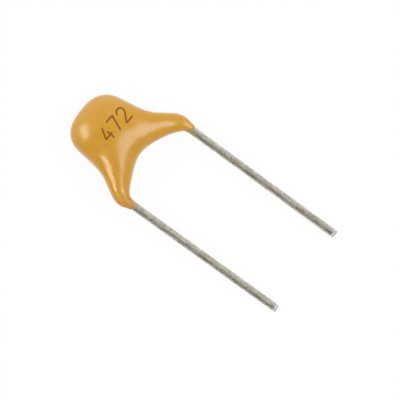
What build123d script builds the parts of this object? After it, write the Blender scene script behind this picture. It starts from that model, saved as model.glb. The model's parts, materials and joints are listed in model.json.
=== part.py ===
from build123d import *
from math import atan, copysign, cos, degrees, exp, pi, radians, sin, tan
import os

# Dipped multilayer ceramic capacitor with two radial wires, in millimetres.
# It is drawn standing: X runs across the wires, Z up from the wire tips to the crown, and
# the marked face looks to -Y. At the end it is laid on its back, with the marked face up.

# Wires
wirePitch = 5.08          # between the wires' centre lines, 0.2 inch
wireDiameter = 0.45
wireFreeLength = 9.45     # bare straight length below the coating
leftExit = -0.25          # height where the coating ends on each wire
rightExit = -0.45
splayAngle = 29           # of the wires' slanted stretch, from the vertical
kneeRadius = 1.5          # of the bend that turns each wire straight down
neckRadius = 0.6          # of the bend where each wire leaves the chip
tipBevel = 0.05           # left by the cutter round each wire tip

# Ceramic chip
chipWidth = 2.0           # along X, over both end caps
chipHeight = 1.25         # along Z
chipDepth = 1.0           # along Y
chipLevel = 3.0           # height of its centre
chipEdge = 0.06           # rounding of its tumbled edges
capWall = 0.04            # fired metal on the chip ends
capBand = 0.35            # how far each cap wraps round the sides

# Electrode plates
plateCount = 12
plateThickness = 0.012
plateCover = 0.17         # plain ceramic outside the first and the last plate
plateSideMargin = 0.16    # ceramic left above and below each plate
plateEndMargin = 0.22     # ceramic left between each plate and the far cap

# Solder
solderSetback = 0.1       # from the chip's edges to the solder, at each end and side
solderGap = 0.03          # between cap and wire
solderFilm = 0.02         # on the wire, where it ends
solderWrap = 70           # angle that it climbs round the wire, each way
solderHollow = 0.03       # how far its two sides curve in

# Coating, over the chip and its wires
crownCover = 1.375        # above the chip
brimDrop = 0.08           # from the crown to where it turns over
brimInset = 0.97          # from the flank's width to the flat crown's
shoulderDrop = 0.55
shoulderInset = 0.33
flankCover = 0.39         # outside the wires, beside the chip
flankRise = 0.3           # from the chip's middle to the flanks' straightest stretch
waistDrop = 1.1           # from the chip's middle to where the legs leave
waistFlare = 0.32         # wider there than at the flanks
archCover = 1.345         # below the chip, down to the hollow edge between the legs
archDrift = -0.1          # sideways place of the hollow edge
lean = -0.035             # sideways drift of the dip, for each millimetre of height

# Coating, over the legs
exitFilm = 0.05           # on the wires, where it ends
kneeCover = 0.175         # outside each wire's knee
kneeLevel = 0.25
springCover = 0.215       # inside each wire, at the foot of the hollow edge
springLevel = 0.16
haunchInset = 1.12        # from each wire to the hollow edge's rounded corner
haunchLevel = 0.64

# Coating, form of its sections: legs is for where it is thin, body for where it is thick
faceCover = 0.51          # over the caps, on the front and on the back
legCover = 0.37           # share of the thickness that the legs keep towards the exits
bodySwell = 2.6           # how late the rest of the thickness comes
ridgeShift = 0.27         # moves the highest line of each leg outwards
ridgePlace = 0.36         # where it moves most, from 0 at the exits to 1 in the middle
ridgeReach = 0.14
legSpread = 4.0           # squareness across, from an oval
bodySpread = -0.5
legRise = -1.05           # squareness of the height
bodyRise = 0.67
legBias = 0.2             # more squareness on the outer side than on the hollow side
bodyBias = -0.4
sectionCount = 25
sectionSteps = 12

tiltSteps = 4             # turns that lay the part on its back

halfPitch = wirePitch / 2
wireRadius = wireDiameter / 2
wireInner = chipWidth / 2 + solderGap + wireRadius    # stretch along the chip
exitRadius = wireRadius + exitFilm
crownLevel = chipLevel + chipHeight / 2 + crownCover
archLevel = chipLevel - chipHeight / 2 - archCover
flankHalfWidth = wireInner + wireRadius + flankCover
coatDepth = chipDepth / 2 + capWall + faceCover       # from the middle to each face
platePitch = (chipDepth - 2 * plateCover) / (plateCount - 1)


def makeWire(side, exitLevel):
    # Along the chip, slanted outwards, then straight down from where the coating ends.
    turn = radians(splayAngle)
    kneeLevelOnWire = exitLevel + kneeRadius * tan(turn / 2)
    neckLevel = kneeLevelOnWire + (halfPitch - wireInner) / tan(turn)
    line = FilletPolyline(
        (side * wireInner, 0, chipLevel + chipHeight / 2),
        (side * wireInner, 0, neckLevel),
        (side * halfPitch, 0, kneeLevelOnWire),
        (side * halfPitch, 0, exitLevel - wireFreeLength),
        radius=(neckRadius, kneeRadius),
    )
    section = Plane(line @ 0, z_dir=line % 0) * Circle(wireRadius)
    body = sweep(section, path=line)
    tipEdge = body.edges().sort_by(Axis.Z)[0]
    return chamfer(tipEdge, tipBevel)


def makeCeramic():
    block = Box(chipWidth - 2 * capWall, chipDepth, chipHeight)
    return Pos(0, 0, chipLevel) * fillet(block.edges(), chipEdge)


def makeCap(side, ceramic):
    # A thin metal cup over one end of the chip.
    cover = Box(chipWidth, chipDepth + 2 * capWall, chipHeight + 2 * capWall)
    cover = Pos(0, 0, chipLevel) * fillet(cover.edges(), chipEdge + capWall)
    reach = Box(capBand, 2 * chipDepth, 2 * chipHeight)
    reach = Pos(side * (chipWidth - capBand) / 2, 0, chipLevel) * reach
    return (cover & reach) - ceramic


def makePlate(number):
    # Even plates meet the left cap and odd ones the right cap.
    side = 1 if number % 2 else -1
    length = chipWidth - 2 * capWall - plateEndMargin
    height = chipHeight - 2 * plateSideMargin
    level = (number - (plateCount - 1) / 2) * platePitch
    plate = Box(length, plateThickness, height)
    return Pos(side * plateEndMargin / 2, level, chipLevel) * plate


def makeSolder(side, wire, cap):
    # Bridges the gap between cap and wire, with hollow sides that climb round the wire.
    angle = radians(solderWrap)
    reach = wireRadius + solderFilm
    tipX = side * (wireInner - reach * cos(angle))
    tipY = reach * sin(angle)
    faceX = side * chipWidth / 2
    faceY = chipDepth / 2 - solderSetback
    outline = Curve() + [
        Line((faceX, -faceY), (faceX, faceY)),
        SagittaArc((faceX, faceY), (tipX, tipY), side * solderHollow),
        Line((tipX, tipY), (tipX, -tipY)),
        SagittaArc((tipX, -tipY), (faceX, -faceY), side * solderHollow),
    ]
    bar = extrude(make_face(outline), chipHeight / 2 - solderSetback, both=True)
    return Pos(0, 0, chipLevel) * bar - wire - cap


def coatEdge(points, drift, exitReach):
    # One smooth edge of the coating, from the left exit over the top to the right exit.
    # The points give half widths and heights, from a leg up to the middle.
    left = [(drift + lean * z - x, 0, z) for x, z in points]
    right = [(drift + lean * z + x, 0, z) for x, z in points]
    route = [(-exitReach, 0, leftExit)] + left + right[-2::-1] + [(exitReach, 0, rightExit)]
    return Spline(*route, tangents=[(0, 0, 1), (0, 0, -1)], tangent_scalars=[1, 1])


def coatValue(legs, body, share):
    # Part of a section's form, none at the exits, where the sections are round.
    return legs * share * (1 - share) + body * share ** 2


def coatSection(inner, outer, place):
    # Front half of an oval across the coating, from its hollow edge to its outer edge.
    # The place runs from 0 at the left exit to 1 at the right one.
    share = sin(pi * place)
    swell = legCover * share + (1 - legCover) * share ** bodySwell
    depth = exitRadius + (coatDepth - exitRadius) * swell
    inward = 1 - abs(1 - 2 * place)
    shift = ridgeShift * exp(-((inward - ridgePlace) / ridgeReach) ** 2)
    spread = 2 + coatValue(legSpread, bodySpread, share)
    rise = 2 + coatValue(legRise, bodyRise, share)
    bias = coatValue(legBias, bodyBias, share)
    middle = (inner + outer) / 2
    reach = (outer - inner) / 2
    points = [inner]
    for step in range(1, sectionSteps):
        angle = pi * step / sectionSteps
        turned = -cos(angle)
        along = copysign(abs(turned) ** (2 / spread), turned)
        along += shift * (1 - along ** 2)
        height = depth * sin(angle) ** (2 / (rise + bias * turned))
        points.append(middle + reach * along - Vector(0, height, 0))
    points.append(outer)
    return Spline(*points, tangents=[(0, -1, 0), (0, 1, 0)], tangent_scalars=[1, 1])


def makeCoatForm():
    # The dipped form: half ovals swung over from one exit to the other make the front
    # skin, its mirror image makes the back, and a round face closes each exit.
    outer = coatEdge(
        [
            (halfPitch + wireRadius + kneeCover, kneeLevel),
            (flankHalfWidth + waistFlare, chipLevel - waistDrop),
            (flankHalfWidth, chipLevel + flankRise),
            (flankHalfWidth - shoulderInset, crownLevel - shoulderDrop),
            (flankHalfWidth - brimInset, crownLevel - brimDrop),
            (0, crownLevel),
        ],
        0,
        halfPitch + exitRadius,
    )
    arch = coatEdge(
        [
            (halfPitch - wireRadius - springCover, springLevel),
            (halfPitch - haunchInset, haunchLevel),
            (0, archLevel),
        ],
        archDrift,
        halfPitch - exitRadius,
    )
    sections = []
    for step in range(sectionCount):
        place = step / (sectionCount - 1)
        sections.append(coatSection(arch @ place, outer @ place, place))
    front = Shell.make_loft([Wire(section) for section in sections])
    back = front.mirror(Plane.XZ)
    ends = [Face(Wire([end, end.mirror(Plane.XZ)])) for end in (sections[0], sections[-1])]
    return Solid(Shell(front.faces() + back.faces() + ends))


def restLocation(coating, wires):
    # Turns the part onto its back and lowers the wire tips until they and the belly
    # touch the same level, then centres it over the origin.
    tilt = 0
    for _ in range(tiltSteps):
        turn = Rot(X=tilt - 90)
        belly = (turn * coating).bounding_box()
        tips = (turn * wires).bounding_box()
        reach = belly.center().Y - tips.min.Y
        tilt += degrees(atan((tips.min.Z - belly.min.Z) / reach))
    turn = Rot(X=tilt - 90)
    box = (turn * Compound([coating, wires])).bounding_box()
    return Pos(-box.center().X, -box.center().Y, -box.min.Z) * turn


os.makedirs("parts", exist_ok=True)

leftWire = makeWire(-1, leftExit)
rightWire = makeWire(1, rightExit)
block = makeCeramic()
plates = [makePlate(number) for number in range(plateCount)]
leftCap = makeCap(-1, block)
rightCap = makeCap(1, block)
leftSolder = makeSolder(-1, leftWire, leftCap)
rightSolder = makeSolder(1, rightWire, rightCap)

coating = makeCoatForm()
for piece in [leftWire, rightWire, leftSolder, rightSolder, leftCap, rightCap, block]:
    coating -= piece
ceramic = block
for plate in plates:
    ceramic -= plate

nodes = {
    "coating": coating,
    "left_lead": leftWire,
    "right_lead": rightWire,
    "left_solder": leftSolder,
    "right_solder": rightSolder,
    "left_termination": leftCap,
    "right_termination": rightCap,
    "ceramic_chip": ceramic,
}
for number, plate in enumerate(plates):
    nodes[f"electrode_{number + 1:02d}"] = plate

rest = restLocation(coating, Compound([leftWire, rightWire]))
for name, shape in nodes.items():
    export_step(rest * shape, f"parts/{name}.step")
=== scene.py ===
import json
from math import copysign, cos, pi, radians, sin, tan

import bmesh
import bpy
import numpy as np
from mathutils import Matrix, Vector, noise
from mathutils.bvhtree import BVHTree


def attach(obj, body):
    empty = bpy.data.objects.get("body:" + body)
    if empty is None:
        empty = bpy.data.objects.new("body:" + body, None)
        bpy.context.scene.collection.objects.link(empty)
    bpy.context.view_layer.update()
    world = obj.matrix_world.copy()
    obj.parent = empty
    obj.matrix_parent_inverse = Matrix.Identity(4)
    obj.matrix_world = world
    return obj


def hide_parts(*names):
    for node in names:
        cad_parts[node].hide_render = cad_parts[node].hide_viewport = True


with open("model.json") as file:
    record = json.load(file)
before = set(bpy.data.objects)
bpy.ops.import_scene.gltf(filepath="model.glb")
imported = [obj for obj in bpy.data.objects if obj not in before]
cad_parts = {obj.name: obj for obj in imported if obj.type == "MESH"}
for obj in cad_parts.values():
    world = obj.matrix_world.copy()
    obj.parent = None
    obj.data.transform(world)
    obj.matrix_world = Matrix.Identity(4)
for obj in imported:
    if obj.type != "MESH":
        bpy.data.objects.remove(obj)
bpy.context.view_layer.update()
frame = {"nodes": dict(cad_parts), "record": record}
print("frame loaded")

# The capacitor is described standing, in millimetres: x across the wires, z up from the
# wire tips to the crown, and y out of the marked face. The two wire mounts in the frame
# say how it lies.
mm = 0.001
mmPerMetre = 1000.0
stance = {
    "wireRadius": 0.225,
    "wireFreeLength": 9.45,     # straight wire below the coating
    "leftExit": -0.25,          # level where the coating ends on the left wire
}
pins = {mount["name"]: mount for mount in frame["record"]["mounts"]}
leftPin = Vector(pins["left_lead_pin"]["pos_m"])
rightPin = Vector(pins["right_lead_pin"]["pos_m"])
upAxis = -Vector(pins["left_lead_pin"]["axis"])
acrossAxis = Vector((1, 0, 0))
outAxis = acrossAxis.cross(upAxis)
halfPitch = (rightPin - leftPin).dot(acrossAxis) / 2 / mm
rightExit = stance["leftExit"] + (rightPin - leftPin).dot(upAxis) / mm
exitLevels = {-1: stance["leftExit"], 1: rightExit}
standOrigin = (
    leftPin
    + acrossAxis * halfPitch * mm
    + upAxis * (stance["wireFreeLength"] / 2 - stance["leftExit"]) * mm
)


def place(x, z, y=0):
    # A standing point in millimetres, as a point of the scene.
    return standOrigin + (acrossAxis * x + upAxis * z + outAxis * y) * mm


def rise(value, start, end):
    # Smooth step from 0 at start to 1 at end.
    share = np.clip((value - start) / (end - start), 0, 1)
    return share * share * (3 - 2 * share)


sharpAngle = radians(38)        # edges keener than this stay crisp


def showMesh(name, mesh, replaced=()):
    mesh.shade_smooth()
    mesh.set_sharp_from_angle(angle=sharpAngle)
    piece = bpy.data.objects.new(name, mesh)
    bpy.context.scene.collection.objects.link(piece)
    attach(piece, "root")
    if replaced:
        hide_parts(*replaced)
    return piece


def ringMesh(name, tubes):
    # One mesh of closed tubes. Each tube is a list of rings with the same number of points.
    form = bmesh.new()
    for rings in tubes:
        loops = [[form.verts.new(point) for point in ring] for ring in rings]
        sides = len(loops[0])
        for lower, upper in zip(loops, loops[1:]):
            for side in range(sides):
                after = (side + 1) % sides
                form.faces.new((lower[side], lower[after], upper[after], upper[side]))
        form.faces.new(loops[0][::-1])
        form.faces.new(loops[-1])
    bmesh.ops.recalc_face_normals(form, faces=form.faces)
    mesh = bpy.data.meshes.new(name)
    form.to_mesh(mesh)
    form.free()
    return mesh


coat = {
    # half width and level of the outer edge on each side, from beside a wire up to the crown
    "outerEdge": {
        -1: ((2.93, 0.25), (2.22, 1.91), (1.85, 3.3), (1.505, 4.43), (0.89, 4.885)),
        1: ((2.92, 0.25), (2.165, 1.89), (1.865, 3.3), (1.52, 4.43), (0.88, 4.865)),
    },
    "crownLevel": 4.99,
    # the same for the hollow edge between the wires
    "archEdge": {-1: ((2.1, 0.16), (1.42, 0.64)), 1: ((2.1, 0.16), (1.42, 0.64))},
    "archLevel": 1.09,
    "archDrift": -0.1,        # the hollow edge's middle is this far to the side
    "lean": -0.035,           # sideways drift for each millimetre of level
    "exitRadius": 0.275,      # of the coating where it ends on a wire
    # half thickness at even steps from an exit to the middle
    "thickness": (0.275, 0.345, 0.43, 0.57, 0.675, 0.78, 0.89, 0.995, 1.043),
    # how far the highest line lies outwards there on each side, as a share of the half width
    "ridge": {
        -1: (0, 0, 0.14, 0.2, 0.07, -0.03, -0.05, 0, 0.05),
        1: (0, 0.08, 0.26, 0.3, 0.18, 0.06, -0.05, 0, 0.05),
    },
    # what makes the sections differ from an oval, as (on the legs, on the body)
    "spread": (2.1, -0.43),   # squareness across
    "rise": (-0.4, 0.28),     # squareness of the height
    "bias": (0.21, -0.47),    # more squareness on the outer side than on the hollow side
    "rings": 340,
    "sides": 120,
    "crowding": 1.6,          # how much closer the rings stand near the exits
    "diagonal": 0.3,          # how much higher the coating ends on the inner sides
    "diagonalCurve": 1.3,     # above 1, the slant gathers on the inner sides
    "diagonalReach": 0.8,     # how far above the exits the rings slant
    "lipHeight": 0.1,         # rounding of the coating's end
    "lipFilm": 0.004,         # on the wire at the very end
    "ragged": 0.035,          # unevenness of the coating's end
    "raggedScale": 3,         # how fine it is
    "sag": 0.006,             # depth of the shallow waves in the skin
    "sagSize": 1.6,           # width of the slow waves
    "sagDetail": 2.3,         # how many times narrower the quick waves are
    "sagShares": (0.7, 0.3),  # of the slow and the quick waves
    "sagFade": (0.3, 1.2),    # levels between which the waves set in
}
lineSamples = 4000            # for reading a smooth line by its length


class SmoothLine:
    # A smooth line through points, with unit slopes given at both ends, read by length.
    def __init__(self, points, startSlope, endSlope):
        self.points = np.array(points, float)
        self.spans = np.linalg.norm(np.diff(self.points, axis=0), axis=1)
        self.knots = np.concatenate(([0], np.cumsum(self.spans)))
        count = len(self.points)
        rows = np.eye(count)
        target = np.zeros((count, 2))
        target[0], target[-1] = startSlope, endSlope
        for i in range(1, count - 1):
            before, after = self.spans[i - 1], self.spans[i]
            rows[i, i - 1 : i + 2] = 1 / before, 2 / before + 2 / after, 1 / after
            target[i] = 3 * (self.points[i] - self.points[i - 1]) / before ** 2
            target[i] += 3 * (self.points[i + 1] - self.points[i]) / after ** 2
        self.slopes = np.linalg.solve(rows, target)
        steps = np.linspace(0, self.knots[-1], lineSamples)
        route = self.byKnot(steps)
        lengths = np.linalg.norm(np.diff(route, axis=0), axis=1)
        self.steps = steps
        self.lengths = np.concatenate(([0], np.cumsum(lengths)))

    def byKnot(self, at):
        span = np.clip(np.searchsorted(self.knots, at, side="right") - 1, 0, len(self.spans) - 1)
        width = self.spans[span][:, None]
        t = (at - self.knots[span])[:, None] / width
        start, end = self.points[span], self.points[span + 1]
        return (
            (2 * t ** 3 - 3 * t ** 2 + 1) * start
            + (t ** 3 - 2 * t ** 2 + t) * width * self.slopes[span]
            + (3 * t ** 2 - 2 * t ** 3) * end
            + (t ** 3 - t ** 2) * width * self.slopes[span + 1]
        )

    def at(self, shares):
        return self.byKnot(np.interp(np.array(shares) * self.lengths[-1], self.lengths, self.steps))


def coatEdge(points, topLevel, drift, exitReach):
    # From the left exit over the top to the right exit.
    left = [(drift + coat["lean"] * z - x, z) for x, z in points[-1]]
    right = [(drift + coat["lean"] * z + x, z) for x, z in points[1]]
    route = [(-exitReach, exitLevels[-1])] + left + [(drift + coat["lean"] * topLevel, topLevel)]
    route += right[::-1] + [(exitReach, exitLevels[1])]
    return SmoothLine(route, (0, 1), (0, -1))


def slantEnd(x, y, z):
    # The coating creeps down further on the outer side of each wire, and ends in a round lip.
    side = 1 if x > 0 else -1
    level = exitLevels[side]
    if z > level + coat["diagonalReach"]:
        return x, y, z
    wireX = side * halfPitch
    inner = -side * (x - wireX) / max(np.hypot(x - wireX, y), 1e-6)
    fine = coat["raggedScale"]
    ragged = noise.noise(Vector((x * fine, y * fine, side * 4))) * coat["ragged"]
    slant = coat["diagonal"] * ((1 + inner) / 2) ** coat["diagonalCurve"]
    end = level + slant + ragged + coat["ragged"]
    newZ = z + (end - level) * (1 - (z - level) / coat["diagonalReach"]) ** 2
    lip = np.clip((newZ - end) / coat["lipHeight"], 0, 1)
    thin = (stance["wireRadius"] + coat["lipFilm"]) / coat["exitRadius"]
    scale = thin + (1 - thin) * np.sqrt(1 - (1 - lip) ** 2)
    return wireX + (x - wireX) * scale, y * scale, newZ


def evenLine(left, right):
    # A smooth line through values at even steps, each row from its exit to the middle.
    row = list(left) + list(right[-2::-1])
    return SmoothLine(list(enumerate(row)), (1, 0), (1, 0))


def coatRing(inside, outside, share, depth, ridge, angles):
    # A section across the coating. The share runs from 0 at the left exit to 1 at the right.
    full = sin(pi * share)
    blend = np.array((full * (1 - full), full ** 2))
    middle, reach = (inside + outside) / 2, (outside - inside) / 2
    ring = []
    for angle in angles:
        turned = -cos(angle)
        rising = 2 + np.dot(coat["rise"], blend) + np.dot(coat["bias"], blend) * turned
        along = copysign(abs(turned) ** (2 / (2 + np.dot(coat["spread"], blend))), turned)
        along += ridge * (1 - along ** 2)
        height = copysign(depth * abs(sin(angle)) ** (2 / rising), sin(angle))
        x, z = middle + reach * along
        ring.append(slantEnd(x, height, z))
    return ring


def coatRings():
    # The sections, swung over from the left exit to the right one.
    exitRadius = coat["exitRadius"]
    outer = coatEdge(coat["outerEdge"], coat["crownLevel"], 0, halfPitch + exitRadius)
    arch = coatEdge(coat["archEdge"], coat["archLevel"], coat["archDrift"], halfPitch - exitRadius)
    spread = np.linspace(-1, 1, coat["rings"])
    shares = 0.5 + 0.5 * np.sign(spread) * (1 - (1 - np.abs(spread)) ** coat["crowding"])
    angles = np.linspace(0, 2 * pi, coat["sides"], endpoint=False)
    depths = evenLine(coat["thickness"], coat["thickness"]).at(shares)[:, 1]
    ridges = evenLine(coat["ridge"][-1], coat["ridge"][1]).at(shares)[:, 1]
    rings = []
    for row in zip(arch.at(shares), outer.at(shares), shares, depths, ridges):
        rings.append(coatRing(*row, angles))
    return rings


def buildCoating():
    rings = [[place(x, z, y) for x, y, z in ring] for ring in coatRings()]
    mesh = ringMesh("coatSkin", [rings])
    mesh.update()
    normals = [vertex.normal.copy() for vertex in mesh.vertices]
    slow, quick = coat["sagShares"]
    apart = Vector((7, 3, 1))
    for vertex, normal in zip(mesh.vertices, normals):
        at = (vertex.co - standOrigin) / mm
        level = at.dot(upAxis)
        wave = noise.noise(at / coat["sagSize"]) * slow
        wave += noise.noise(at / coat["sagSize"] * coat["sagDetail"] + apart) * quick
        fade = float(rise(level, *coat["sagFade"]))
        vertex.co -= normal * coat["sag"] * (0.5 + 0.5 * wave) * fade * mm
    return showMesh("coatSkin", mesh, ["coating"])


coatSkin = buildCoating()
print("coating built")


wire = {
    "innerReach": 1.255,      # from the middle to the stretch along the chip
    "topLevel": 3.625,        # where it ends beside the chip
    "splay": radians(29),     # of the slanted stretch, from the vertical
    "neckRadius": 0.6,        # of the bend beside the chip
    "kneeRadius": 1.5,        # of the bend where the coating ends
    "sides": 48,
    "ringGap": 0.045,
    "dents": 0.006,           # depth of the tin's unevenness
    "dentScale": 2.2,         # how fine it is
    "dentLength": 0.8,        # how far it is drawn out along the wire
    "cutLength": 0.2,         # of the wedge left by the cutters
    "cutEdge": 0.03,          # half thickness left at the very tip
    "cutTaper": 0.12,         # how much narrower the tip is
    "cutTurn": {-1: radians(-20), 1: radians(12)},    # of each wedge about its wire
}


def bentPath(corners, radii, gap):
    # Points along straight runs joined by round bends.
    corners = [np.array(corner, float) for corner in corners]
    stops = [corners[0]]
    for before, corner, after, radius in zip(corners, corners[1:], corners[2:], radii):
        back = (before - corner) / np.linalg.norm(before - corner)
        ahead = (after - corner) / np.linalg.norm(after - corner)
        turn = pi - np.arccos(np.dot(back, ahead))
        middle = (back + ahead) / np.linalg.norm(back + ahead)
        centre = corner + middle * radius / cos(turn / 2)
        steps = max(3, round(radius * turn / gap))
        for step in range(steps + 1):
            share = step / steps - 0.5
            lead = -middle * cos(turn * share)
            swing = (ahead - back) / np.linalg.norm(ahead - back) * sin(turn * share)
            stops.append(centre + radius * (lead + swing))
    stops.append(corners[-1])
    points = [stops[0]]
    for start, end in zip(stops, stops[1:]):
        pieces = max(1, round(np.linalg.norm(end - start) / gap))
        points += [start + (end - start) * (i + 1) / pieces for i in range(pieces)]
    return points


def wireRings(side):
    level = exitLevels[side]
    kneeCorner = level + wire["kneeRadius"] * tan(wire["splay"] / 2)
    neckCorner = kneeCorner + (halfPitch - wire["innerReach"]) / tan(wire["splay"])
    tipLevel = level - stance["wireFreeLength"]
    path = bentPath(
        [
            (side * wire["innerReach"], wire["topLevel"]),
            (side * wire["innerReach"], neckCorner),
            (side * halfPitch, kneeCorner),
            (side * halfPitch, tipLevel),
        ],
        (wire["neckRadius"], wire["kneeRadius"]),
        wire["ringGap"],
    )
    turn = wire["cutTurn"][side]
    flat = np.array((cos(turn), sin(turn)))
    pinch = np.array((-sin(turn), cos(turn)))
    rings = []
    for i, centre in enumerate(path):
        along = path[min(i + 1, len(path) - 1)] - path[max(i - 1, 0)]
        along = along / np.linalg.norm(along)
        sideways = np.array((-along[1], along[0]))
        toTip = centre[1] - tipLevel
        ring = []
        for number in range(wire["sides"]):
            angle = 2 * pi * number / wire["sides"]
            drawn = centre[1] / wire["dentLength"]
            spot = Vector((cos(angle) * 0.5 + side * 3, sin(angle) * 0.5, drawn))
            dent = 0.5 + 0.5 * noise.noise(spot * wire["dentScale"])
            radius = stance["wireRadius"] - wire["dents"] * dent
            section = np.array((cos(angle), sin(angle))) * radius
            if toTip < wire["cutLength"]:
                thick = wire["cutEdge"] + (radius - wire["cutEdge"]) * toTip / wire["cutLength"]
                taper = 1 - wire["cutTaper"] * (1 - toTip / wire["cutLength"])
                section = (
                    flat * np.dot(section, flat) * taper
                    + pinch * np.clip(np.dot(section, pinch), -thick, thick)
                )
            x, z = centre + sideways * section[0]
            ring.append(place(x, z, section[1]))
        rings.append(ring)
    return rings


def buildWire(side, name, node):
    mesh = ringMesh(name, [wireRings(side)])
    return showMesh(name, mesh, [node])


leftWire = buildWire(-1, "leftWire", "left_lead")
rightWire = buildWire(1, "rightWire", "right_lead")
print("wires built")


marking = {
    "digits": "472",
    "centre": (0.39, 3.02),
    "height": 0.82,           # of a digit
    "pitch": 0.66,            # from one digit to the next
    "turn": radians(-3.6),
    "stroke": 0.095,          # width of the printed line
    "strokeEnd": 0.72,        # share of it left at an end
    "lift": 0.006,            # above the skin
    "step": 0.03,             # between the rings along a stroke
    # corners of a stroke's section, as shares of half its width and of its lift
    "section": ((-1, -1), (-0.85, 0.6), (0, 1), (0.85, 0.6), (1, -1), (0, -1.5)),
    "castFrom": 4,            # in front of the part, from where the strokes are laid on the skin
}

# Strokes of each digit in a cell one unit high. A stroke marked round is a smooth line.
digitStrokes = {
    "4": (
        (False, ((0.4, 1), (0, 0.32), (0.62, 0.32))),
        (False, ((0.44, 0.6), (0.44, 0))),
    ),
    "7": ((False, ((0.02, 1), (0.6, 1), (0.24, 0))),),
    "2": (
        (True, (
            (0.03, 0.78), (0.14, 0.95), (0.33, 1), (0.53, 0.9),
            (0.55, 0.66), (0.36, 0.38), (0.02, 0),
        )),
        (False, ((0.02, 0), (0.62, 0))),
    ),
}
digitWidth = 0.62


def strokePoints(isRound, points, gap):
    points = [np.array(point, float) for point in points]
    if isRound:
        first = (points[1] - points[0]) / np.linalg.norm(points[1] - points[0])
        last = (points[-1] - points[-2]) / np.linalg.norm(points[-1] - points[-2])
        line = SmoothLine(points, first, last)
        return list(line.at(np.linspace(0, 1, round(line.lengths[-1] / gap))))
    route = [points[0]]
    for start, end in zip(points, points[1:]):
        steps = max(2, round(np.linalg.norm(end - start) / gap))
        route += [start + (end - start) * (i + 1) / steps for i in range(steps)]
    return route


def markingSpot(local, number):
    # A point of a digit's cell, as x and z on the marked face.
    size, turn = marking["height"], marking["turn"]
    middle = (len(marking["digits"]) - 1) / 2
    x = (local[0] - digitWidth / 2) * size + (number - middle) * marking["pitch"]
    z = (local[1] - 0.5) * size
    x, z = x * cos(turn) - z * sin(turn), x * sin(turn) + z * cos(turn)
    return x + marking["centre"][0], z + marking["centre"][1]


def strokeRings(route, number, skin):
    # A printed stroke, as rings that lie on the skin.
    rings = []
    for i, spot in enumerate(route):
        ahead = route[min(i + 1, len(route) - 1)] - route[max(i - 1, 0)]
        ahead = ahead / np.linalg.norm(ahead)
        beside = np.array((-ahead[1], ahead[0]))
        isEnd = i in (0, len(route) - 1)
        half = marking["stroke"] / 2 / marking["height"] * (marking["strokeEnd"] if isEnd else 1)
        ring = []
        for across, lift in marking["section"]:
            x, z = markingSpot(spot + beside * half * across, number)
            hit, normal, _, _ = skin.ray_cast(place(x, z, marking["castFrom"]), -outAxis)
            ring.append(hit + normal * lift * marking["lift"] * mm)
        rings.append(ring)
    return rings


def buildMarking():
    skin = BVHTree.FromObject(coatSkin, bpy.context.evaluated_depsgraph_get())
    tubes = []
    for number, digit in enumerate(marking["digits"]):
        for isRound, points in digitStrokes[digit]:
            route = strokePoints(isRound, points, marking["step"] / marking["height"])
            tubes.append(strokeRings(route, number, skin))
    return showMesh("valueMarking", ringMesh("valueMarking", tubes))


valueMarking = buildMarking()
print("marking built")


def addNode(tree, kind, inputs=None, **settings):
    node = tree.nodes.new(kind)
    for key, value in settings.items():
        setattr(node, key, value)
    for key, value in (inputs or {}).items():
        if isinstance(value, bpy.types.NodeSocket):
            tree.links.new(value, node.inputs[key])
        else:
            node.inputs[key].default_value = value
    return node


def newGroup(name, inputs, outputs):
    # Inputs are (label, default) pairs of numbers, outputs are labels of numbers.
    group = bpy.data.node_groups.new(name, "ShaderNodeTree")
    number = "NodeSocketFloat"
    for label, default in inputs:
        socket = group.interface.new_socket(name=label, in_out="INPUT", socket_type=number)
        socket.default_value = default
    for label in outputs:
        group.interface.new_socket(name=label, in_out="OUTPUT", socket_type=number)
    return group, addNode(group, "NodeGroupInput").outputs, addNode(group, "NodeGroupOutput").inputs


def useGroup(tree, group, **values):
    node = addNode(tree, "ShaderNodeGroup", node_tree=group)
    for key, value in values.items():
        node.inputs[key].default_value = value
    return node.outputs


def spots(tree, scale):
    # Object coordinates times a scale in each direction.
    coords = addNode(tree, "ShaderNodeTexCoord").outputs["Object"]
    return addNode(
        tree, "ShaderNodeVectorMath", {0: coords, 1: scale}, operation="MULTIPLY"
    ).outputs["Vector"]


def mathNode(tree, operation, first, second=0.0, third=0.0, clamp=False):
    values = {0: first, 1: second, 2: third}
    return addNode(tree, "ShaderNodeMath", values, operation=operation, use_clamp=clamp).outputs[0]


def mixColour(tree, factor, first, second):
    # The node's colour sockets are its inputs 6 and 7 and its output 2.
    node = addNode(tree, "ShaderNodeMix", data_type="RGBA")
    for key, value in ((0, factor), (6, first), (7, second)):
        if isinstance(value, bpy.types.NodeSocket):
            tree.links.new(value, node.inputs[key])
        else:
            node.inputs[key].default_value = value
    return node.outputs[2]


def spread(tree, value, low, high):
    # Takes a mask from 0 and 1 to low and high.
    return addNode(
        tree, "ShaderNodeMapRange", {"Value": value, "To Min": low, "To Max": high}
    ).outputs["Result"]


def colour(red, green, blue):
    # A screen colour, 0 to 255, as a shader colour.
    shares = [part / 255 for part in (red, green, blue)]
    linear = [((share + 0.055) / 1.055) ** 2.4 for share in shares]
    faint = [share / 12.92 for share in shares]
    return [faint[i] if shares[i] < 0.04045 else linear[i] for i in range(3)] + [1]


def newMaterial(name, **values):
    material = bpy.data.materials.new(name)
    material.use_nodes = True
    shader = material.node_tree.nodes["Principled BSDF"]
    for key, value in values.items():
        shader.inputs[key].default_value = value
    return material, material.node_tree, shader.inputs


def addRelief(tree, height, depth, surface):
    values = {"Height": height, "Strength": 1.0, "Distance": depth * mm}
    bump = addNode(tree, "ShaderNodeBump", values)
    tree.links.new(bump.outputs["Normal"], surface["Normal"])


def dress(piece, material):
    piece.data.materials.clear()
    piece.data.materials.append(material)


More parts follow.
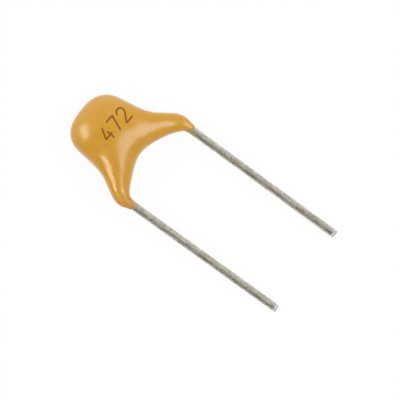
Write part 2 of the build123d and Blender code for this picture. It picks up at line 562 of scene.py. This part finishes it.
def makeClouds():
    # Slow, cloudy change over the surface.
    group, given, result = newGroup("clouds", [("Size mm", 1.0), ("Contrast", 1.0)], ["Mask"])
    scale = mathNode(group, "DIVIDE", mmPerMetre, given["Size mm"])
    coords = addNode(group, "ShaderNodeTexCoord").outputs["Object"]
    texture = addNode(
        group,
        "ShaderNodeTexNoise",
        {"Vector": coords, "Scale": scale, "Detail": 3.0, "Roughness": 0.5},
    )
    centred = mathNode(group, "SUBTRACT", texture.outputs["Fac"], 0.5)
    mask = mathNode(group, "MULTIPLY_ADD", centred, given["Contrast"], 0.5, clamp=True)
    group.links.new(mask, result["Mask"])
    return group


def makeGrain():
    # Fine grain and small pits, for colour, roughness and relief.
    group, given, result = newGroup("grain", [("Size mm", 0.1), ("Pits", 0.3)], ["Mask", "Height"])
    scale = mathNode(group, "DIVIDE", mmPerMetre, given["Size mm"])
    coords = addNode(group, "ShaderNodeTexCoord").outputs["Object"]
    texture = addNode(
        group,
        "ShaderNodeTexNoise",
        {"Vector": coords, "Scale": scale, "Detail": 4.0, "Roughness": 0.6},
    ).outputs["Fac"]
    half = mathNode(group, "MULTIPLY", scale, 0.4)
    cells = addNode(group, "ShaderNodeTexVoronoi", {"Vector": coords, "Scale": half}).outputs
    away = mathNode(group, "MULTIPLY", cells["Distance"], 4.0)
    pit = mathNode(group, "SUBTRACT", 1.0, away, clamp=True)
    depth = mathNode(group, "MULTIPLY", pit, given["Pits"])
    group.links.new(texture, result["Mask"])
    group.links.new(mathNode(group, "SUBTRACT", texture, depth), result["Height"])
    return group


def makeDrawLines():
    # Fine lines along the wires, which lie nearly along Y.
    group, given, result = newGroup(
        "drawLines", [("Width mm", 0.05), ("Length mm", 1.0), ("Contrast", 1.0)], ["Mask"]
    )
    fine = mathNode(group, "DIVIDE", mmPerMetre, given["Width mm"])
    long = mathNode(group, "DIVIDE", mmPerMetre, given["Length mm"])
    scale = addNode(group, "ShaderNodeCombineXYZ", {"X": fine, "Y": long, "Z": fine}).outputs[0]
    texture = addNode(
        group,
        "ShaderNodeTexNoise",
        {"Vector": spots(group, scale), "Scale": 1.0, "Detail": 1.5, "Roughness": 0.5},
    )
    centred = mathNode(group, "SUBTRACT", texture.outputs["Fac"], 0.5)
    mask = mathNode(group, "MULTIPLY_ADD", centred, given["Contrast"], 0.5, clamp=True)
    group.links.new(mask, result["Mask"])
    return group


def makeFilmEdge():
    # The thin run of resin on a wire, just past the end of the coating.
    group, given, result = newGroup(
        "filmEdge",
        [("Exit Y mm", 0.0), ("Wire X mm", 0.0), ("Slant", 0.0), ("Length mm", 0.25)],
        ["Mask"],
    )
    coords = spots(group, (mmPerMetre,) * 3)
    axes = addNode(group, "ShaderNodeSeparateXYZ", {0: coords}).outputs
    beside = mathNode(group, "SUBTRACT", axes["X"], given["Wire X mm"])
    slant = mathNode(group, "MULTIPLY", beside, given["Slant"])
    past = mathNode(group, "SUBTRACT", given["Exit Y mm"], axes["Y"])
    past = mathNode(group, "ADD", past, slant)
    rough = addNode(group, "ShaderNodeTexNoise", {"Vector": coords, "Scale": 5.0, "Detail": 3.0})
    ragged = mathNode(group, "MULTIPLY_ADD", rough.outputs["Fac"], 0.7, -0.35)
    past = mathNode(group, "ADD", past, ragged)
    share = mathNode(group, "DIVIDE", past, given["Length mm"])
    mask = addNode(
        group,
        "ShaderNodeMapRange",
        {"Value": share, "From Min": 0.1, "From Max": 1.6, "To Min": 1.0, "To Max": 0.0},
        interpolation_type="SMOOTHSTEP",
    ).outputs["Result"]
    group.links.new(mask, result["Mask"])
    return group


def makeNearExit():
    # The stretch of coating just above the place where a wire leaves it.
    group, given, result = newGroup(
        "nearExit", [("Exit Y mm", 0.0), ("Wire X mm", 0.0), ("Reach mm", 1.0)], ["Mask"]
    )
    coords = spots(group, (mmPerMetre, mmPerMetre, 0))
    centre = addNode(
        group, "ShaderNodeCombineXYZ", {"X": given["Wire X mm"], "Y": given["Exit Y mm"]}
    ).outputs[0]
    away = addNode(
        group, "ShaderNodeVectorMath", {0: coords, 1: centre}, operation="DISTANCE"
    ).outputs["Value"]
    share = mathNode(group, "DIVIDE", away, given["Reach mm"])
    mask = addNode(
        group,
        "ShaderNodeMapRange",
        {"Value": share, "From Min": 0.6, "From Max": 1.3, "To Min": 1.0, "To Max": 0.0},
        interpolation_type="SMOOTHSTEP",
    ).outputs["Result"]
    group.links.new(mask, result["Mask"])
    return group


def makeTipCut():
    # The facets that the cutters leave at a wire tip, and the thin edge between them.
    group, given, result = newGroup(
        "tipCut", [("Tip Y mm", 0.0), ("Length mm", 0.2), ("Edge mm", 0.04)], ["Facet", "Edge"]
    )
    coords = spots(group, (mmPerMetre,) * 3)
    along = addNode(group, "ShaderNodeSeparateXYZ", {0: coords}).outputs["Y"]
    past = mathNode(group, "SUBTRACT", along, given["Tip Y mm"])
    for label, reach in (("Facet", given["Length mm"]), ("Edge", given["Edge mm"])):
        share = mathNode(group, "DIVIDE", past, reach)
        mask = addNode(
            group,
            "ShaderNodeMapRange",
            {"Value": share, "From Min": 0.9, "From Max": 1.1, "To Min": 1.0, "To Max": 0.0},
        ).outputs["Result"]
        group.links.new(mask, result[label])
    return group


clouds = makeClouds()
grain = makeGrain()
drawLines = makeDrawLines()
filmEdge = makeFilmEdge()
nearExit = makeNearExit()
tipCut = makeTipCut()


epoxyLook = {
    "main": colour(227, 165, 47),
    "deep": colour(213, 143, 26),       # in slow clouds, and as painted shade where the left leg ends
    "pale": colour(236, 184, 80),
    "speck": colour(160, 100, 30),
    "roughness": (0.2, 0.28),
    "exitRoughness": 0.2,               # added where the left leg ends
    "exitReach": 0.85,
    "gloss": (0.4, 0.15),               # on the body and where the left leg ends
    "glossRoughness": 0.12,
    "sheen": 0.8,
    "relief": 0.004,
}


def makeEpoxy():
    material, tree, surface = newMaterial(
        "dippedEpoxy",
        **{
            "Coat Roughness": epoxyLook["glossRoughness"],
            "Sheen Weight": epoxyLook["sheen"],
            "Sheen Roughness": 0.35,
        },
    )
    flow = useGroup(tree, clouds, **{"Size mm": 2.2, "Contrast": 2.2})["Mask"]
    patches = useGroup(tree, clouds, **{"Size mm": 0.5, "Contrast": 2.0})["Mask"]
    fine = useGroup(tree, grain, **{"Size mm": 0.09, "Pits": 0.0})
    skin = useGroup(tree, grain, **{"Size mm": 0.5, "Pits": 0.15})
    base = mixColour(tree, spread(tree, flow, 0.0, 0.5), epoxyLook["main"], epoxyLook["deep"])
    base = mixColour(tree, spread(tree, patches, 0.0, 0.25), base, epoxyLook["pale"])
    specks = addNode(
        tree, "ShaderNodeMapRange",
        {"Value": fine["Mask"], "From Min": 0.62, "From Max": 0.75, "To Min": 0.0, "To Max": 0.35},
    ).outputs["Result"]
    base = mixColour(tree, specks, base, epoxyLook["speck"])
    near = useGroup(
        tree, nearExit,
        **{
            "Exit Y mm": place(0, exitLevels[-1]).y / mm,
            "Wire X mm": place(-halfPitch, 0).x / mm,
            "Reach mm": epoxyLook["exitReach"],
        },
    )["Mask"]
    # Painted shade: the coating is drawn in the deep colour where the left leg ends, where its
    # slope turns away from the light.
    base = mixColour(tree, spread(tree, near, 0.0, 0.7), base, epoxyLook["deep"])
    tree.links.new(base, surface["Base Color"])
    rough = spread(tree, patches, *epoxyLook["roughness"])
    rough = mathNode(tree, "MULTIPLY_ADD", near, epoxyLook["exitRoughness"], rough)
    tree.links.new(rough, surface["Roughness"])
    tree.links.new(spread(tree, near, *epoxyLook["gloss"]), surface["Coat Weight"])
    addRelief(tree, skin["Height"], epoxyLook["relief"], surface)
    return material


wireLook = {
    "light": colour(236, 232, 221),
    "dull": colour(200, 193, 178),
    "dark": colour(140, 130, 114),
    "film": colour(226, 198, 118),
    "facet": colour(236, 236, 236),
    "cut": colour(120, 112, 102),
    "lineWidth": 0.1,                   # of the lines drawn along the wire
    "lineLength": 0.7,
    "wear": 0.7,                        # strength of the dark pits
    "filmLength": 0.1,                  # of the resin past the end of the coating
    "filmStrength": 0.8,
    "roughness": (0.42, 0.52),
    "metal": (0.88, 0.1),               # on the bare wire and under the film
    "relief": 0.006,
}


def makeTin(name, side):
    material, tree, surface = newMaterial(name)
    lines = useGroup(
        tree, drawLines,
        **{
            "Width mm": wireLook["lineWidth"],
            "Length mm": wireLook["lineLength"],
            "Contrast": 4.0,
        },
    )["Mask"]
    patches = useGroup(tree, clouds, **{"Size mm": 0.3, "Contrast": 2.5})["Mask"]
    fine = useGroup(tree, grain, **{"Size mm": 0.11, "Pits": 0.4})
    film = useGroup(
        tree, filmEdge,
        **{
            "Exit Y mm": place(0, exitLevels[side]).y / mm,
            "Wire X mm": place(side * halfPitch, 0).x / mm,
            "Slant": side * coat["diagonal"] / (2 * stance["wireRadius"]),
            "Length mm": wireLook["filmLength"],
        },
    )["Mask"]
    worn = addNode(
        tree, "ShaderNodeMapRange",
        {
            "Value": fine["Height"], "From Min": 0.5, "From Max": 0.3,
            "To Min": 0.0, "To Max": wireLook["wear"],
        },
    ).outputs["Result"]
    base = mixColour(tree, lines, wireLook["dull"], wireLook["light"])
    base = mixColour(tree, spread(tree, patches, 0.0, 0.6), base, wireLook["dull"])
    base = mixColour(tree, worn, base, wireLook["dark"])
    cut = useGroup(
        tree, tipCut,
        **{
            "Tip Y mm": place(0, exitLevels[side] - stance["wireFreeLength"]).y / mm,
            "Length mm": wire["cutLength"],
        },
    )
    base = mixColour(tree, cut["Facet"], base, wireLook["facet"])
    base = mixColour(tree, cut["Edge"], base, wireLook["cut"])
    resin = spread(tree, film, 0.0, wireLook["filmStrength"])
    base = mixColour(tree, resin, base, wireLook["film"])
    tree.links.new(base, surface["Base Color"])
    tree.links.new(spread(tree, patches, *wireLook["roughness"]), surface["Roughness"])
    tree.links.new(spread(tree, film, *wireLook["metal"]), surface["Metallic"])
    height = mathNode(tree, "MULTIPLY_ADD", patches, 0.5, lines)
    addRelief(tree, height, wireLook["relief"], surface)
    return material


inkLook = {"main": colour(132, 70, 10), "worn": colour(165, 98, 24)}


def makeInk():
    material, tree, surface = newMaterial("markingInk", **{"IOR": 1.45})
    patches = useGroup(tree, clouds, **{"Size mm": 0.12, "Contrast": 3.0})["Mask"]
    fine = useGroup(tree, grain, **{"Size mm": 0.04, "Pits": 0.3})
    base = mixColour(tree, spread(tree, patches, 0.0, 0.7), inkLook["main"], inkLook["worn"])
    tree.links.new(base, surface["Base Color"])
    tree.links.new(spread(tree, fine["Mask"], 0.35, 0.6), surface["Roughness"])
    return material


# Two colours, roughness, metal and grain size of the pieces inside.
innerLooks = {
    "ceramicBody": (colour(150, 122, 92), colour(118, 94, 70), 0.75, 0.0, 0.03),
    "endMetal": (colour(190, 186, 176), colour(150, 146, 138), 0.45, 1.0, 0.06),
    "solderFillet": (colour(200, 200, 198), colour(158, 158, 156), 0.25, 1.0, 0.12),
    "plateMetal": (colour(150, 148, 142), colour(112, 108, 100), 0.5, 1.0, 0.02),
}
innerRelief = 0.003
innerWear = 0.08                # how far the roughness varies, each way


def makeInner(name):
    light, dark, roughness, metallic, grainSize = innerLooks[name]
    material, tree, surface = newMaterial(name, **{"Metallic": metallic})
    patches = useGroup(tree, clouds, **{"Size mm": 0.3, "Contrast": 2.0})["Mask"]
    fine = useGroup(tree, grain, **{"Size mm": grainSize, "Pits": 0.5})
    base = mixColour(tree, patches, light, dark)
    base = mixColour(tree, spread(tree, fine["Mask"], 0.0, 0.5), base, dark)
    tree.links.new(base, surface["Base Color"])
    rough = spread(tree, fine["Mask"], roughness - innerWear, roughness + innerWear)
    tree.links.new(rough, surface["Roughness"])
    addRelief(tree, fine["Height"], innerRelief, surface)
    return material


dress(coatSkin, makeEpoxy())
dress(leftWire, makeTin("leftTin", -1))
dress(rightWire, makeTin("rightTin", 1))
dress(valueMarking, makeInk())

innerMaterials = {name: makeInner(name) for name in innerLooks}
innerKinds = {
    "chip": "ceramicBody",
    "termination": "endMetal",
    "solder": "solderFillet",
    "electrode": "plateMetal",
}
for node, piece in frame["nodes"].items():
    for word, kind in innerKinds.items():
        if word in node.split("_"):
            dress(piece, innerMaterials[kind])
print("materials made")


studio = {
    "floorSize": 0.6,
    "floorGlow": 0.92,          # how the camera and reflections see it, before light falls on it
    "floorShade": 0.1,          # share of it that takes the object's shadow
    "floorTone": 0.85,          # how much light it throws back
    "skyTop": 0.128,            # room light from above
    "skyHorizon": 0.72,         # and from the sides
    "skyFall": 0.6,             # below 1, it falls off faster near the horizon
    "skySide": 0.56,            # extra from the brighter side of the room
    "brightSide": (0.6, 0.8, 0.0),
}


def makeFloor():
    # Camera and mirror rays see it white, with a faint shadow; to the rest it is pale grey.
    mesh = bpy.data.meshes.new("floor")
    half = studio["floorSize"] / 2
    form = bmesh.new()
    square = ((-1, -1), (1, -1), (1, 1), (-1, 1))
    form.faces.new([form.verts.new((x * half, y * half, 0)) for x, y in square])
    form.to_mesh(mesh)
    form.free()
    floor = bpy.data.objects.new("floor", mesh)
    bpy.context.scene.collection.objects.link(floor)
    material = bpy.data.materials.new("floorWhite")
    material.use_nodes = True
    tree = material.node_tree
    tree.nodes.clear()
    ray = addNode(tree, "ShaderNodeLightPath").outputs
    seen = mathNode(tree, "MAXIMUM", ray["Is Camera Ray"], ray["Is Glossy Ray"])
    seen = mathNode(tree, "MAXIMUM", seen, ray["Is Transmission Ray"])
    tone = studio["floorTone"]
    shade = studio["floorShade"]
    plain = addNode(tree, "ShaderNodeBsdfDiffuse", {"Color": (tone, tone, tone, 1)}).outputs[0]
    faint = addNode(tree, "ShaderNodeBsdfDiffuse", {"Color": (shade, shade, shade, 1)}).outputs[0]
    glow = addNode(tree, "ShaderNodeEmission", {"Strength": studio["floorGlow"]}).outputs[0]
    white = addNode(tree, "ShaderNodeAddShader", {0: faint, 1: glow}).outputs[0]
    surface = addNode(tree, "ShaderNodeMixShader", {0: seen, 1: plain, 2: white}).outputs[0]
    addNode(tree, "ShaderNodeOutputMaterial", {"Surface": surface})
    dress(floor, material)
    return floor


def makeWorld():
    # A room that is brighter low down and on one side. The camera sees it white.
    world = bpy.data.worlds.new("studioRoom")
    bpy.context.scene.world = world
    world.use_nodes = True
    tree = world.node_tree
    tree.nodes.clear()
    direction = addNode(tree, "ShaderNodeTexCoord").outputs["Generated"]
    axes = addNode(tree, "ShaderNodeSeparateXYZ", {0: direction}).outputs
    height = mathNode(tree, "MAXIMUM", axes["Z"], 0.0)
    height = mathNode(tree, "POWER", height, studio["skyFall"])
    facing = {0: direction, 1: studio["brightSide"]}
    side = addNode(tree, "ShaderNodeVectorMath", facing, operation="DOT_PRODUCT").outputs["Value"]
    side = mathNode(tree, "MAXIMUM", side, 0.0)
    tone = spread(tree, height, studio["skyHorizon"], studio["skyTop"])
    tone = mathNode(tree, "MULTIPLY_ADD", side, studio["skySide"], tone)
    ray = addNode(tree, "ShaderNodeLightPath").outputs["Is Camera Ray"]
    white = (1, 1, 1, 1)
    room = addNode(tree, "ShaderNodeBackground", {"Color": white, "Strength": tone}).outputs[0]
    backdrop = addNode(tree, "ShaderNodeBackground", {"Color": white}).outputs[0]
    surface = addNode(tree, "ShaderNodeMixShader", {0: ray, 1: room, 2: backdrop}).outputs[0]
    addNode(tree, "ShaderNodeOutputWorld", {"Surface": surface})


# Where each softbox stands, seen from the object, and how large it looks, in degrees. Three
# light the coating and the floor, and the wide one only the wires, which keep a soft sheen.
softboxes = {
    "windowBox": {
        "turn": 119.6, "climb": 38.5, "roll": -55,
        "width": 14.4, "height": 26.7,
        "brightness": 5.0, "tint": (1.0, 0.97, 0.8),
    },
    "archBox": {
        "turn": -56.2, "climb": 52.9, "roll": -25.4,
        "width": 50.6, "height": 23,
        "brightness": 3.8, "tint": (0.94, 1.0, 1.04),
    },
    "legBox": {
        "turn": -168, "climb": 56, "roll": -52,
        "width": 6, "height": 17.1,
        "brightness": 10.5, "tint": (1.0, 0.95, 0.75),
    },
    "wireBox": {
        "turn": 0, "climb": 68, "roll": 0,
        "width": 100, "height": 70,
        "brightness": 0.44, "tint": (1.0, 1.0, 1.0),
    },
}
lampDistance = 0.25             # in metres, from the object


def newLitGroup(name, pieces):
    group = bpy.data.collections.new(name)
    for piece in pieces:
        group.objects.link(piece)
    return group


def makeSoftboxes(floor):
    # Each lamp's power makes it look as bright as its brightness says, whatever its size.
    coated = newLitGroup("litCoating", [coatSkin, valueMarking, floor])
    wires = newLitGroup("litWires", [leftWire, rightWire])
    for name, box in softboxes.items():
        turn, climb, roll = radians(box["turn"]), radians(box["climb"]), radians(box["roll"])
        towards = Vector((cos(climb) * cos(turn), cos(climb) * sin(turn), sin(climb)))
        level = Vector((-sin(turn), cos(turn), 0))
        wide = level * cos(roll) + towards.cross(level) * sin(roll)
        lamp = bpy.data.lights.new(name, "AREA")
        lamp.shape = "RECTANGLE"
        lamp.size = 2 * lampDistance * tan(radians(box["width"]) / 2)
        lamp.size_y = 2 * lampDistance * tan(radians(box["height"]) / 2)
        lamp.energy = box["brightness"] * pi * lamp.size * lamp.size_y
        lamp.color = box["tint"]
        stand = bpy.data.objects.new(name, lamp)
        stand.location = towards * lampDistance
        turned = Matrix((wide, towards.cross(wide), towards)).transposed()
        stand.rotation_euler = turned.to_euler()
        bpy.context.scene.collection.objects.link(stand)
        stand.light_linking.receiver_collection = wires if name == "wireBox" else coated


# In metres. The camera looks straight down.
shot = {
    "turn": radians(-54.1),     # of the picture about the line of sight
    "distance": 0.045,
    "viewWidth": 0.02166,       # across the picture, at the floor
    "centre": (-0.000202, -0.000454),
}


def makeCamera():
    lens = bpy.data.cameras.new("shotCamera")
    lens.sensor_width = 36
    lens.lens = lens.sensor_width * shot["distance"] / shot["viewWidth"]
    lens.clip_start = 0.001
    camera = bpy.data.objects.new("shotCamera", lens)
    camera.location = Vector((*shot["centre"], shot["distance"]))
    camera.rotation_euler = (0, 0, shot["turn"])
    bpy.context.scene.collection.objects.link(camera)
    bpy.context.scene.camera = camera


floor = makeFloor()
makeWorld()
makeSoftboxes(floor)
makeCamera()
bpy.context.scene.view_settings.view_transform = "Standard"
print("studio ready")
